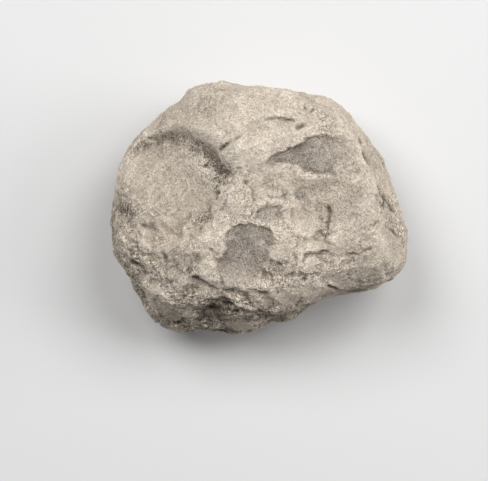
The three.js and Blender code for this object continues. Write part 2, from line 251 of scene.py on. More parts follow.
LEDGES = {
    "scoop_crease": {
        "line": [(-22, -1), (-23, -3), (-25, -5), (-26, -7.5), (-27.5, -11)],
        "drop": 1.1, "wall": 1.0, "run": 5,
    },
    "centre_scar_rim": {"line": CENTRE_SCAR[4:14], "drop": 0.9, "wall": 0.6, "run": 6},
    "upper_scar_rim": {"line": UPPER_SCAR[:9], "drop": 0.7, "wall": 0.9, "run": 6},
    "upper_scar_foot": {"line": UPPER_SCAR[12:], "drop": 1.1, "wall": 0.8, "run": 4},
    "small_scar_lip": {
        "line": [(-3, -4.5), (-1.5, -1.5), (0.5, 0.5), (3.5, 1), (8, 0.5)],
        "drop": 0.55, "wall": 0.6, "run": 4,
    },
    "plate_scarp": {
        "line": [(25, 2), (24.5, 0), (24, -4), (23.5, -7.5), (22.5, -9), (22.5, -11), (26.5, -11.5)],
        "drop": 0.7, "wall": 0.6, "run": 5,
    },
    "plate_nick": {
        "line": [(17, -10.5), (18.5, -8), (20.5, -7), (22.5, -7.5)],
        "drop": 0.6, "wall": 0.6, "run": 2.5,
    },
    "middle_slot": {
        "line": [(14, -16), (17, -15), (20, -14.8), (22.5, -13.6), (25.5, -13), (27, -11.5)],
        "drop": 1.0, "wall": 0.7, "run": 3,
    },
    "lower_scarp": {
        "line": [(-25, -22.5), (-22.5, -23.3), (-20, -23.5), (-18, -25), (-15, -26.5), (-13.5, -30)],
        "drop": 0.8, "wall": 1.2, "run": 4,
    },
    "centre_scar_foot": {
        "line": [(-14, -26), (-11, -27.5), (-6.5, -28), (-1, -28), (4, -28.5)],
        "drop": 0.6, "wall": 0.9, "run": 3,
    },
    "south_scarp": {
        "line": [
            (-25, -34), (-22, -32.5), (-19, -31.5), (-15, -30.5), (-11.5, -31), (-8, -33.5), (-4, -34.5),
            (4, -36), (10, -37),
        ],
        "drop": 0.9, "wall": 1.2, "run": 4,
    },
    "west_ledge": {
        "line": [(-46, -16.5), (-43, -18.5), (-40, -20.5), (-38, -23)],
        "drop": 0.9, "wall": 0.7, "run": 3,
    },
    "south_west_edge": {
        "line": [(-42.5, -25.5), (-39.5, -30.5), (-37.5, -34.5)],
        "drop": 1.0, "wall": 0.8, "run": 3,
    },
    "crest_crack": {
        "line": [(-4, 27), (-6.5, 25.3), (-9, 23), (-12, 21), (-14, 19)],
        "drop": 0.5, "wall": 0.7, "run": 5,
    },
    "flap_edge": {
        "line": [(-0.5, 14.5), (0.8, 12.5), (3.4, 9.6), (6.8, 7.2), (10.2, 6.2)],
        "drop": 0.4, "wall": 0.7, "run": 4,
    },
    "middle_plate": {
        "line": [(2.5, 5), (4.5, 4.3), (7.1, 4.5), (9.5, 6)],
        "drop": 0.35, "wall": 0.6, "run": 3,
    },
    "nose_edge": {
        "line": [(-2.4, 1.5), (-2.8, 3.5), (-3.5, 6.2), (-6.5, 9.6)],
        "drop": 0.7, "wall": 0.8, "run": 4,
    },
    "mid_seam": {
        "line": [(10.6, -6.5), (10.4, -4), (9.8, -1.5), (10.2, 0.8)],
        "drop": 0.6, "wall": 0.6, "run": 3,
    },
    "rib_plate": {
        "line": [(-15.5, -15), (-17.5, -13), (-18, -10), (-16.5, -7)],
        "drop": 0.6, "wall": 0.7, "run": 3,
    },
    "low_plate": {
        "line": [(6, -24.5), (9, -22.5), (12.5, -21.5), (17, -22.5), (21, -22)],
        "drop": 0.7, "wall": 0.7, "run": 4,
    },
    "slot_shelf": {
        "line": [(9, -13.5), (12, -15.5), (14.5, -18.5), (18, -19.5), (22, -18.5)],
        "drop": 0.5, "wall": 0.6, "run": 3,
    },
    "north_crack": {
        "line": [(0, 29.5), (5, 31), (8.5, 30.5), (12.5, 29)],
        "drop": 0.5, "wall": 0.6, "run": 4,
    },
    "east_scarp": {
        "line": [(22, -26), (26, -27.5), (28.5, -28.5), (31.5, -29), (35, -28)],
        "drop": 1.2, "wall": 0.7, "run": 3,
    },
    "corner_edge": {
        "line": [(43, -23), (46.5, -22), (49, -20.5), (50, -18)],
        "drop": 0.7, "wall": 0.6, "run": 3,
    },
}
FLANK_LEDGES = {
    "north_shelf": {"line": [(68, 31), (84, 33), (99, 32), (112, 30)], "drop": 1.6, "wall": 1.0, "run": 6},
    "north_step": {"line": [(84, 15), (100, 16), (118, 18.5)], "drop": 1.2, "wall": 0.8, "run": 5},
    "north_west_slab": {"line": [(122, 32), (131, 26), (140, 15)], "drop": 1.5, "wall": 1.1, "run": 7},
    "west_slab": {"line": [(158, 27), (168, 23), (178, 13)], "drop": 1.3, "wall": 0.9, "run": 5},
    "south_west_slab": {"line": [(-160, 24), (-147, 23), (-136, 20)], "drop": 1.4, "wall": 1.0, "run": 5},
    "south_slab": {
        "line": [(-118, 23), (-104, 21), (-92, 18), (-84, 17.5)],
        "drop": 1.5, "wall": 1.0, "run": 5,
    },
    "south_foot": {"line": [(-112, 10.5), (-96, 9.5), (-80, 9.5)], "drop": 1.1, "wall": 0.8, "run": 4},
    "south_east_slab": {"line": [(-62, 25), (-48, 23.5), (-34, 20)], "drop": 1.3, "wall": 0.9, "run": 6},
    "east_slab": {"line": [(-14, 26), (-3, 24), (8, 20.5), (18, 19.5)], "drop": 1.5, "wall": 1.0, "run": 6},
    "north_east_slab": {"line": [(30, 30), (41, 26.5), (54, 22)], "drop": 1.4, "wall": 1.0, "run": 6},
}
BRUISE_WIDE = 0.7
DIRT_WIDE = 0.5

painted_shade_and_dirt = np.zeros(count)  # 1 at the foot of steps and in cracks and pits, darkened there with painted shade and dirt
uneven = np.clip(0.85 + 0.9 * roughness_of(5.5, 16), 0.25, 1.3)  # a ledge comes and goes along its line
all_ledges = [(ledge, ledge["line"], plan, upward) for ledge in LEDGES.values()]
all_ledges += [(ledge, round_the_flank(ledge["line"]), unrolled, on_flank) for ledge in FLANK_LEDGES.values()]
for ledge, line, places, shown in all_ledges:
    left, along = beside(line, places)
    fade = smooth_between(along, 0, ENDS) * smooth_between(along, 1, 1 - ENDS) * shown * uneven
    lift += ledge["drop"] * ledge_profile(left, ledge["wall"], ledge["run"]) * fade
    strength = fade * min(1, ledge["drop"])
    bruised = np.maximum(bruised, strength * np.exp(-np.abs(left - 0.4) / BRUISE_WIDE))
    painted_shade_and_dirt = np.maximum(painted_shade_and_dirt, strength * np.exp(-np.abs(left + 0.7 * ledge["wall"]) / DIRT_WIDE))

# --- Fresh scars ------------------------------------------------------------------------------------------
# Where a flake came off last, the chalk is still clean, greyer and smoother. Each scar is an outline, how
# grey it is, the spot where it is greyest with how far the grey spreads from there, and how smooth it is.
SCARS = {
    "centre_scar": {"outline": CENTRE_SCAR, "grey": 1.05, "heart": (-9, -10), "spread": 19, "smooth": 0.75},
    "upper_scar": {"outline": UPPER_SCAR, "grey": 1.0, "heart": (12, 17), "spread": 20, "smooth": 0.8},
    "small_scar": {
        "outline": [(-2.5, -4.5), (-1, -1.5), (1, 0), (4, 0.5), (7, 0.5), (6.5, -1.5), (4.5, -4.5)],
        "grey": 0.8, "heart": (1, -2), "spread": 8, "smooth": 0.7,
    },
    "middle_scar": {
        "outline": [(10.5, 4), (11.5, 6), (14, 7), (16, 7.5), (15.5, 3.5), (13.5, 2), (11.5, 2.5)],
        "grey": 0.85, "heart": (13, 4), "spread": 7, "smooth": 0.7,
    },
    "middle_smear": {
        "outline": [(16, 7.5), (19.5, 9), (23, 8.5), (23, 6.5), (20, 6), (16.5, 5.5)],
        "grey": 0.5, "heart": (17, 7), "spread": 8, "smooth": 0.6,
    },
    "right_plate": {
        "outline": [
            (25, 2), (27.5, 4.5), (31.5, 6), (36, 6), (39, 4), (40.5, -0.5), (39.5, -4.5), (37, -7.5),
            (33.5, -9.5), (29, -11), (25, -11), (23.5, -9.5), (24, -4.5),
        ],
        "grey": 0.36, "heart": (30, -3), "spread": 16, "smooth": 0.6,
    },
    "east_flank_scar": {
        "outline": [
            (25.5, -22.5), (27.5, -22), (31.5, -21.5), (33.5, -20), (36.5, -20.5), (42.5, -21), (40.5, -24),
            (36, -27), (32, -28.5), (28.5, -28), (25.5, -26),
        ],
        "grey": 0.5, "heart": (32, -24), "spread": 14, "smooth": 0.5,
    },
    "scoop_floor": {
        "outline": [
            (-44, 18), (-38, 22), (-30, 22), (-24, 19), (-20, 12), (-20, 3), (-24, -3), (-32, -3), (-40, 0),
            (-45, 8),
        ],
        "grey": 0.1, "heart": (-30, 10), "spread": 20, "smooth": 0.6,
    },
    "crest": {
        "outline": [
            (-13, 16), (-24, 28), (-33, 30), (-29, 37), (-20, 42), (-4, 43), (14, 38), (22, 29), (10, 22),
            (-6, 13),
        ],
        "grey": 0, "heart": (0, 25), "spread": 20, "smooth": 0.45,
    },
    "middle_flap": {
        "outline": [(-5, 6), (-1, 8.5), (3, 8.5), (8, 7), (9, 2), (4, 1), (-1, 1.5), (-4, 2)],
        "grey": 0, "heart": (2, 5), "spread": 20, "smooth": 0.65,
    },
    "middle_facet": {
        "outline": [
            (10.6, -0.8), (13, 0.6), (17, 0), (20, -2.5), (21, -6.5), (19, -9.3), (15, -10), (12, -9.6),
            (10.4, -6),
        ],
        "grey": 0, "heart": (15, -5), "spread": 20, "smooth": 0.75,
    },
    "east_bevel": {
        "outline": [
            (25, 39), (29, 28.5), (34, 20), (37.5, 11.5), (41, 4), (47, 4), (44, 14), (40, 24), (34, 33),
            (28, 41),
        ],
        "grey": 0.15, "heart": (36, 26), "spread": 14, "smooth": 0.7,
    },
    "corner": {
        "outline": [(38, -8), (44, -8), (49, -12), (50, -17), (44, -20), (37, -18), (34, -13)],
        "grey": 0.2, "heart": (43, -14), "spread": 12, "smooth": 0.75,
    },
}

FLANK_SCARS = {
    "north_scar": {
        "outline": [(72, 28), (90, 29), (104, 30), (108, 20), (96, 16), (82, 17)],
        "grey": 0.7, "heart": (90, 24), "spread": 20, "smooth": 0.75,
    },
    "east_scar": {
        "outline": [(-12, 20), (2, 22), (14, 16), (10, 8), (-4, 7)],
        "grey": 0.6, "heart": (2, 15), "spread": 16, "smooth": 0.7,
    },
    "west_scar": {
        "outline": [(138, 28), (152, 26), (160, 18), (150, 10), (140, 14)],
        "grey": 0.55, "heart": (149, 19), "spread": 15, "smooth": 0.7,
    },
    "south_scar": {
        "outline": [(-70, 24), (-58, 22), (-48, 18), (-52, 9), (-66, 9), (-74, 16)],
        "grey": 0.6, "heart": (-62, 16), "spread": 16, "smooth": 0.6,
    },
}


def inside(outline, places):
    """How deep each place lies inside an outline; less than 0 outside it."""
    gap, _ = beside([*outline, outline[0]], places)
    within = np.zeros(len(places), bool)
    for (ax, ay), (bx, by) in zip(outline, [*outline[1:], outline[0]]):
        between = (ay > places[:, 1]) != (by > places[:, 1])
        with np.errstate(divide="ignore", invalid="ignore"):
            crossing = places[:, 0] < (bx - ax) * (places[:, 1] - ay) / (by - ay) + ax
        within ^= between & crossing
    return np.where(within, np.abs(gap), -np.abs(gap))


fresh = np.zeros(count)
PLAIN_ROUGHNESS = 0.36
rough = np.full(count, PLAIN_ROUGHNESS) + 0.2 * roughness_of(11, 13)
patchy = 0.9 * roughness_of(3, 14)  # how far a scar's grey strays over its edge
all_scars = [(scar, scar["outline"], scar["heart"], plan, upward) for scar in SCARS.values()]
for scar in FLANK_SCARS.values():
    outline, heart = round_the_flank(scar["outline"]), round_the_flank([scar["heart"]])[0]
    all_scars.append((scar, outline, heart, unrolled, on_flank))
scarred = np.zeros(count)  # 1 where a scar has smoothed the break
for scar, outline, heart, places, shown in all_scars:
    depth = inside(outline, places)
    away = np.hypot(*(places - heart).T) / scar["spread"]
    held = smooth_between(depth + patchy, -0.6, 0.5) * np.exp(-(away**2)) * shown
    fresh = np.maximum(fresh, scar["grey"] * held)
    scarred = np.maximum(scarred, scar["smooth"] * smooth_between(depth, -1.0, 1.5) * shown)
rough *= 1 - scarred

# Rougher places: the scoop's wall and the spots of rubble are pitted, and the broken -Y flank and the
# weathered -X end are blocky as well.
RUBBLE = [{"at": (-10, 1), "reach": 6}, {"at": (33, -25), "reach": 6}, {"at": (4, -20), "reach": 4}]
RUBBLE_ROUGHNESS = 0.58
SCOOP_WALL_ROUGHNESS = 0.9
BROKEN_ROUGHNESS = 0.75
rough *= 1 - 0.3 * (1 - upward)
blocky = 0.8 * rough
scoop_wall = smooth_between(left_of_rim, 0.5, -1.2) * smooth_between(left_of_rim, -12, -6)
scoop_wall *= smooth_between(along_rim, 0.08, 0.35) * smooth_between(along_rim, 1, 0.82) * upward
rough = np.maximum(rough, SCOOP_WALL_ROUGHNESS * scoop_wall)
south_flank = smooth_between(skin_at[:, 1] + 0.25 * skin_at[:, 2], -14, -24)
south_flank *= smooth_between(skin_at[:, 0], 30, 10)
west_end = smooth_between(skin_at[:, 0], -34, -46) * smooth_between(skin_at[:, 1], 6, -2)
for rubble in RUBBLE:
    away = np.hypot(*(plan - rubble["at"]).T) / rubble["reach"]
    rough = np.maximum(rough, RUBBLE_ROUGHNESS * np.exp(-(away**2)) * upward)
rough = np.maximum(rough, BROKEN_ROUGHNESS * np.maximum(south_flank, west_end))
blocky = np.maximum(blocky * (1 - 0.5 * scoop_wall), 0.85 * (1 - upward) * (1 - 0.8 * scarred))
blocky = np.maximum(blocky, np.maximum(0.7 * south_flank, 0.55 * west_end))

# --- Weather and painted light ----------------------------------------------------------------------------
# Dust has whitened the crest and the ribs, and soil has stained the -X end and the -Y flank. Some spots are
# painted light and shade instead: the one at (-18, 19) lightens the scoop's shaded wall, the one at (-31, 24)
# paints shade under the scoop's north rim, and the soil on the -Y flank is partly painted shade. Each place
# is a spot with its reach, and how much it whitens (above 0) or darkens (below 0) there.
WEATHER_AND_PAINTED_LIGHT = [
    {"at": (2, 27), "reach": 17, "dust": 0.35}, {"at": (-11, 1), "reach": 8, "dust": 0.5},
    {"at": (-19, -14), "reach": 8, "dust": 0.35}, {"at": (14, -24), "reach": 8, "dust": 0.5},
    {"at": (-46, 15), "reach": 5, "dust": 0.3}, {"at": (-39, 13), "reach": 6, "dust": -0.22},
    {"at": (18, -2), "reach": 7, "dust": 0.15}, {"at": (-49, 0), "reach": 5, "dust": -0.4},
    {"at": (-43, -3), "reach": 4, "dust": -0.3}, {"at": (-45, -15), "reach": 7, "dust": -0.2},
    {"at": (-36, -26), "reach": 7, "dust": -0.2}, {"at": (-15.5, -35), "reach": 5, "dust": -1.0},
    {"at": (-26, -38), "reach": 7, "dust": -0.25}, {"at": (-12, -33), "reach": 4, "dust": -0.5},
    {"at": (8, -37), "reach": 9, "dust": -0.6}, {"at": (36, -30), "reach": 6, "dust": -0.3},
    {"at": (-29, -35), "reach": 6, "dust": 0.3}, {"at": (-17, -19), "reach": 5, "dust": 0.3},
    {"at": (-31, 24), "reach": 7, "dust": -0.45}, {"at": (-14, 9), "reach": 6, "dust": 0.4},
    {"at": (-18, 19), "reach": 6, "dust": 0.85}, {"at": (11, -5), "reach": 8, "dust": 0.35},
    {"at": (5, 6), "reach": 4, "dust": 0.35}, {"at": (31, -3), "reach": 9, "dust": 0.3},
    {"at": (35, 18), "reach": 9, "dust": -0.31}, {"at": (-3, 14), "reach": 6, "dust": 0.35},
    {"at": (43, -2), "reach": 5, "dust": 0.15}, {"at": (2, 37), "reach": 5, "dust": -0.18},
    {"at": (14, 36), "reach": 3.5, "dust": -0.15}, {"at": (8, 42), "reach": 4, "dust": 0.25},
    {"at": (-33, -28.7), "reach": 3.5, "dust": 0.5}, {"at": (-21, -17.5), "reach": 2.5, "dust": -0.5},
    {"at": (33, -25), "reach": 7, "dust": -0.35}, {"at": (44, -14), "reach": 9, "dust": -0.1},
]
weather_and_painted_light = np.zeros(count)
for spell in WEATHER_AND_PAINTED_LIGHT:
    away = np.hypot(*(plan - spell["at"]).T) / spell["reach"]
    weather_and_painted_light += spell["dust"] * np.exp(-(away**2)) * (1 + 0.8 * roughness_of(3.5, 17))
weather_and_painted_light *= 0.25 + 0.75 * smooth_between(facing[:, 2], -0.1, 0.3)

# --- Beds -------------------------------------------------------------------------------------------------
# Chalk parts along faint beds that dip gently across the lump. Each bed's edge crosses the break as a low
# ragged step, and on the flanks the beds show as thin level steps one above the other.
BED_SPACING = 9.0
BED_STEP = 0.6
BED_WALL = 0.14  # the share of a bed's breadth that its step takes
DIP_HEADING = math.radians(62)
DIP = (math.cos(DIP_HEADING), math.sin(DIP_HEADING))
crossed = skin_at[:, :2] @ DIP / BED_SPACING + 0.95 * roughness_of(17, 7) + 0.4 * roughness_of(6, 8)
crossed += 0.14 * roughness_of(2.2, 9)
in_bed = crossed - np.floor(crossed)
ramp = np.clip(in_bed / BED_WALL, 0, 1) - in_bed
bedded = smooth_between(roughness_of(13, 15), -0.25, 0.25) * smooth_between(rough, 0.25, 0.4) * upward
bedded *= smooth_between(skin_at[:, 1], 30, 22)
lift += BED_STEP * ramp * bedded
bruised = np.maximum(bruised, 0.6 * bedded * np.exp(-(((in_bed - 0.17) / 0.05) ** 2)))

FLANK_BED_SPACING = 4.3
FLANK_BED_STEP = 0.7
FLANK_BED_WALL = 0.18
levels = skin_at[:, 2] / FLANK_BED_SPACING + 0.4 * roughness_of(24, 10) + 0.1 * roughness_of(5, 11)
in_level = levels - np.floor(levels)
level_ramp = smooth_between(in_level, 0, FLANK_BED_WALL) - in_level
flank = smooth_between(np.abs(facing[:, 2]), 0.75, 0.4)
lift += FLANK_BED_STEP * level_ramp * (flank * smooth_between(roughness_of(9, 12), 0.05, 0.4))

# --- Cracks and pits --------------------------------------------------------------------------------------
# Hairline cracks, short slots and a few deep pits, as wide and as deep as given. Each opens and closes
# along its line, and all of them are darkened with painted shade and soil.
CRACKS = {
    "crest": {"line": [(-6, 25.2), (-9, 23), (-12, 21), (-14.5, 19)], "wide": 0.55, "deep": 1.3},
    "north": {"line": [(1, 30), (5, 31), (8.5, 30.5), (12, 29.5)], "wide": 0.4, "deep": 0.8},
    "north_slot": {"line": [(12, 27), (15.5, 28.5)], "wide": 0.6, "deep": 1.0},
    "north_vee": {
        "line": [(15, 35.5), (15.7, 33.8), (16.2, 32.3), (17.2, 33), (18.6, 34.6)],
        "wide": 0.3, "deep": 0.6,
    },
    "right_rim_upper": {"line": [(34.5, 24.5), (35, 20), (36.5, 17), (37.5, 14)], "wide": 0.7, "deep": 1.7},
    "right_rim_middle": {"line": [(40.5, 8.5), (42.2, 4), (43, 0.5)], "wide": 0.6, "deep": 1.4},
    "right_rim_lower": {"line": [(42.5, 5.5), (44, 3), (45.8, 0), (47.5, -2.5)], "wide": 0.55, "deep": 1.3},
    "corner": {"line": [(43, -6), (46.5, -8), (49, -10.5)], "wide": 0.4, "deep": 0.6},
    "plate_foot": {"line": [(29, -16), (33, -16), (35.5, -14.5), (38, -13.5)], "wide": 0.45, "deep": 0.35},
    "plate_edge": {"line": [(35, -7), (38, -6), (40, -4.5)], "wide": 0.4, "deep": 0.5},
    "east_scarp": {
        "line": [(23, -26.5), (26, -27.8), (28.5, -28.8), (31.5, -29.3), (34.5, -28.3)],
        "wide": 0.6, "deep": 1.2,
    },
    "south_run": {"line": [(-5.6, -29.8), (-4, -31.4), (-1.8, -34.2)], "wide": 0.5, "deep": 2.2},
    "south_line": {"line": [(-5, -28), (-3, -28), (-0.5, -28)], "wide": 0.35, "deep": 0.5},
    "south_slot": {"line": [(-11.8, -34.4), (-9.5, -35.4), (-7.5, -36)], "wide": 0.8, "deep": 3.0},
    "lower_slot": {"line": [(-23.2, -23.5), (-20.6, -23.8)], "wide": 0.9, "deep": 1.9},
    "centre_foot": {"line": [(-13, -23.3), (-12.7, -26.8)], "wide": 0.45, "deep": 1.3},
    "scoop_floor": {"line": [(-33.5, 11), (-31, 14)], "wide": 0.4, "deep": 0.4},
    "west_dash": {"line": [(-44.5, -11), (-42, -12)], "wide": 0.5, "deep": 0.6},
    "west_hollow": {"line": [(-40.5, -6), (-38, -6.6), (-35.3, -7.3)], "wide": 0.7, "deep": 0.9},
    "west_gash": {"line": [(-33.4, -14.2), (-32.4, -16.5), (-31.4, -18.8)], "wide": 0.6, "deep": 1.0},
    "west_notch": {"line": [(-45.2, -18.6), (-42.5, -19.4), (-39.6, -20.4)], "wide": 0.6, "deep": 1.1},
    "west_foot": {"line": [(-43.2, -21.6), (-40, -22.4), (-37, -22.6)], "wide": 0.5, "deep": 0.9},
    "rib_slash": {"line": [(-21, -3), (-20, -6), (-20.6, -9)], "wide": 0.4, "deep": 0.6},
    "slot_dash": {"line": [(14.2, -18.4), (15.2, -16.8), (16.2, -15)], "wide": 0.4, "deep": 0.7},
    "rib_dash": {"line": [(-16.5, -9), (-15, -10)], "wide": 0.5, "deep": 0.6},
    "scoop_nick": {"line": [(-15, 2.8), (-14.3, 4.2), (-13.6, 5.6)], "wide": 0.6, "deep": 1.0},
    "plate_notch": {
        "line": [(23, 1), (24, -1.6), (23.3, -5.4), (22.9, -9.1), (22, -10.5)],
        "wide": 0.75, "deep": 0.8,
    },
}
FLANK_CRACKS = {
    "north_joint": {"line": [(88, 36), (91, 27), (90, 18), (94, 8)], "wide": 0.5, "deep": 1.2},
    "east_joint": {"line": [(22, 30), (19, 22), (23, 14), (20, 6)], "wide": 0.5, "deep": 1.1},
    "west_joint": {"line": [(170, 30), (165, 21), (168, 12), (163, 5)], "wide": 0.5, "deep": 1.1},
    "south_joint": {"line": [(-88, 30), (-92, 22), (-88, 13), (-91, 6)], "wide": 0.6, "deep": 1.3},
    "south_seam": {"line": [(-130, 15), (-118, 14), (-106, 16), (-95, 14)], "wide": 0.45, "deep": 0.9},
    "north_seam": {"line": [(55, 15), (66, 13), (78, 14), (86, 12)], "wide": 0.45, "deep": 0.9},
}
PITS = [
    {"at": (-4.5, 8.5), "wide": 0.55, "deep": 1.0}, {"at": (-18.5, 14.5), "wide": 0.8, "deep": 0.8},
    {"at": (23.4, -1.0), "wide": 1.1, "deep": 0.9}, {"at": (23, -9), "wide": 1.0, "deep": 0.6},
    {"at": (10.5, -22.5), "wide": 0.9, "deep": 0.8}, {"at": (15, -24.5), "wide": 1.2, "deep": 1.2},
    {"at": (13.2, -23.4), "wide": 0.8, "deep": 0.8}, {"at": (-40, -5.8), "wide": 1.5, "deep": 0.8},
    {"at": (-37, -5.9), "wide": 1.3, "deep": 0.8}, {"at": (13.2, -9.6), "wide": 0.8, "deep": 0.7},
    {"at": (15.4, -10.8), "wide": 0.9, "deep": 0.7}, {"at": (3.6, -18.2), "wide": 0.8, "deep": 0.7},
    {"at": (6.2, -19.4), "wide": 1.0, "deep": 0.8}, {"at": (8.6, -18.6), "wide": 0.7, "deep": 0.6},
    {"at": (1.6, -22.6), "wide": 1.2, "deep": 0.8}, {"at": (-12, -15.5), "wide": 0.6, "deep": 0.6},
    {"at": (-21.4, -17.5), "wide": 2.1, "deep": 1.0}, {"at": (-31.9, -25.4), "wide": 1.5, "deep": 0.9},
]

STRAYING = 0.45  # a crack runs truer than a ledge
wander = skin_at[:, :2] + STRAYING * ragged
cut_above = smooth_between(facing[:, 2], 0.0, 0.3)
open_here = np.clip(0.8 + 1.1 * roughness_of(3.2, 18), 0.1, 1.2)
all_cracks = [(crack, crack["line"], wander, cut_above) for crack in CRACKS.values()]
all_cracks += [(crack, round_the_flank(crack["line"]), unrolled, on_flank) for crack in FLANK_CRACKS.values()]
for crack, line, places, shown in all_cracks:
    left, along = beside(line, places)
    ends = smooth_between(along, -0.05, 0.15) * smooth_between(along, 1.05, 0.85)
    gap = np.exp(-((left / crack["wide"]) ** 2)) * ends * shown * open_here
    lift -= crack["deep"] * gap
    painted_shade_and_dirt = np.maximum(painted_shade_and_dirt, gap)
for pit in PITS:
    away = np.hypot(*(wander - pit["at"]).T) / pit["wide"]
    hollow = np.exp(-(away**2)) * upward
    lift -= pit["deep"] * hollow
    painted_shade_and_dirt = np.maximum(painted_shade_and_dirt, 0.8 * hollow)

# The back stays flat where the lump rests: the relief fades out between these heights.
FLAT_BELOW = 0.2
FREE_ABOVE = 2.5
off_the_floor = smooth_between(skin_at[:, 2], FLAT_BELOW, FREE_ABOVE)
skin_at += facing * (lift * off_the_floor)[:, None]
stone.data.vertices.foreach_set("co", (skin_at * MM).astype(np.float32).ravel())


def note_on_skin(piece, name, values):
    """Keeps one number for each corner of a piece's mesh, for its node tree or its finish to read."""
    held = piece.data.attributes.get(name) or piece.data.attributes.new(name, "FLOAT", "POINT")
    held.data.foreach_set("value", values.astype(np.float32))


notes = {
    "rough": rough, "blocky": blocky, "fresh": fresh, "bruised": bruised, "painted_shade_and_dirt": painted_shade_and_dirt,
    "loose": off_the_floor, "dust_and_painted_light": np.clip(weather_and_painted_light, 0, 1), "soil_and_painted_shade": np.clip(-weather_and_painted_light, 0, 1),
}
for name, values in notes.items():
    note_on_skin(stone, name, values)

# --- Chips and grain --------------------------------------------------------------------------------------
# The break is made of small tilted chips, with pits where grains fell out and a sandy grain over it all.
# A node tree lays them over the whole skin by one rule, and cuts them deeper where the break is rough.


class Tree:
    """A node tree under construction: add() places a node, and a socket or a number feeds each input."""

    def __init__(self, tree):
        self.tree = tree

    def add(self, kind, inputs=(), **settings):
        made = self.tree.nodes.new(kind)
        for name, value in settings.items():
            setattr(made, name, value)
        for name, value in dict(inputs).items():
            if isinstance(value, bpy.types.NodeSocket):
                self.tree.links.new(value, made.inputs[name])
            else:
                made.inputs[name].default_value = value
        return made

    def math(self, operation, *values):
        made = self.add("ShaderNodeMath", enumerate(values), operation=operation)
        return made.outputs[0]

    def vector(self, operation, *values):
        made = self.add("ShaderNodeVectorMath", enumerate(values), operation=operation)
        return made.outputs["Value" if operation in ("DOT_PRODUCT", "LENGTH") else "Vector"]

    def between(self, value, low, high, to_low=0.0, to_high=1.0):
        limits = {"Value": value, "From Min": low, "From Max": high, "To Min": to_low, "To Max": to_high}
        return self.add("ShaderNodeMapRange", limits, interpolation_type="SMOOTHSTEP").outputs["Result"]


# How wide the cells of each kind of break are, and how deep or high it goes.
BREAK = {
    "Spall Size": 13.0, "Spall Height": 4.0, "Facet Size": 8.0, "Facet Height": 1.1,
    "Chip Size": 4.2, "Chip Height": 0.6, "Small Chip Size": 1.9, "Small Chip Height": 0.45,
    "Pit Size": 1.9, "Pit Depth": 0.4,
    "Grain Size": 1.1, "Grain Height": 0.12, "Patch Size": 8.0,
}
grain_group = bpy.data.node_groups.new("chalk_break", "GeometryNodeTree")
grain_group.interface.new_socket("Geometry", in_out="INPUT", socket_type="NodeSocketGeometry")
grain_sockets = {
    name: grain_group.interface.new_socket(name, in_out="INPUT", socket_type="NodeSocketFloat").identifier
    for name in BREAK
}
finish_socket = grain_group.interface.new_socket("Finish", in_out="INPUT", socket_type="NodeSocketMaterial")
grain_group.interface.new_socket("Geometry", in_out="OUTPUT", socket_type="NodeSocketGeometry")

tree = Tree(grain_group)
given = tree.add("NodeGroupInput").outputs
place = tree.add("GeometryNodeInputPosition").outputs[0]
roughly = tree.add("GeometryNodeInputNamedAttribute", {"Name": "rough"}, data_type="FLOAT").outputs[0]
blockily = tree.add("GeometryNodeInputNamedAttribute", {"Name": "blocky"}, data_type="FLOAT").outputs[0]
loosely = tree.add("GeometryNodeInputNamedAttribute", {"Name": "loose"}, data_type="FLOAT").outputs[0]


def cells(tree, place, size, seed):
    """Random cells with ragged borders: the bent places, and the cell pattern's node."""
    bent = tree.add("ShaderNodeTexNoise", {"Vector": place, "Scale": 260.0, "Detail": 2.0}).outputs["Color"]
    shift = tree.vector("MULTIPLY_ADD", bent, (0.0035, 0.0035, 0.0035), (seed, 0.0, 0.0))
    warped = tree.vector("ADD", place, shift)
    scale = tree.math("DIVIDE", 1.0, size)
    return warped, tree.add("ShaderNodeTexVoronoi", {"Vector": warped, "Scale": scale}, feature="F1")


def scallops(tree, place, size, seed):
    """Shallow hollows with crisp rims, as spalls leave them: heights from 0 down to some tenths."""
    distance = cells(tree, place, size, seed)[1].outputs["Distance"]
    return tree.math("MINIMUM", tree.math("MULTIPLY_ADD", distance, distance, -0.28), 0.0)


def chips(tree, place, size, seed):
    """Cells that each tilt their own way, as the facets of a break do: heights about 0, of some tenths."""
    warped, cell = cells(tree, place, size, seed)
    tilt = tree.vector("MULTIPLY_ADD", cell.outputs["Color"], (2.0, 2.0, 2.0), (-1.0, -1.0, -1.0))
    across = tree.vector("SUBTRACT", warped, cell.outputs["Position"])
    return tree.math("DIVIDE", tree.vector("DOT_PRODUCT", across, tilt), size)


def pits(size, depth):
    """Round-bottomed holes in about one cell out of three."""
    scale = tree.math("DIVIDE", 1.0, size)
    cell = tree.add("ShaderNodeTexVoronoi", {"Vector": place, "Scale": scale}, feature="F1")
    lottery = tree.vector("DOT_PRODUCT", cell.outputs["Color"], (1.0, 0.0, 0.0))
    open_pit = tree.math("GREATER_THAN", lottery, 0.66)
    bowl = tree.between(cell.outputs["Distance"], 0.42, 0.1)
    return tree.math("MULTIPLY", tree.math("MULTIPLY", bowl, open_pit), tree.math("MULTIPLY", depth, -1.0))


millimetres = {name: tree.math("MULTIPLY", given[name], MM) for name in BREAK}
grain_scale = tree.math("DIVIDE", 1.0, millimetres["Grain Size"])
grain_inputs = {"Vector": place, "Scale": grain_scale, "Detail": 3.0, "Roughness": 0.62}
grain_noise = tree.add("ShaderNodeTexNoise", grain_inputs).outputs[0]
grain = tree.math("MULTIPLY", tree.between(grain_noise, 0.2, 0.8, -1.0, 1.0), millimetres["Grain Height"])
pitted = tree.math(
    "MULTIPLY", pits(millimetres["Pit Size"], millimetres["Pit Depth"]), tree.between(roughly, 0.55, 1.0)
)
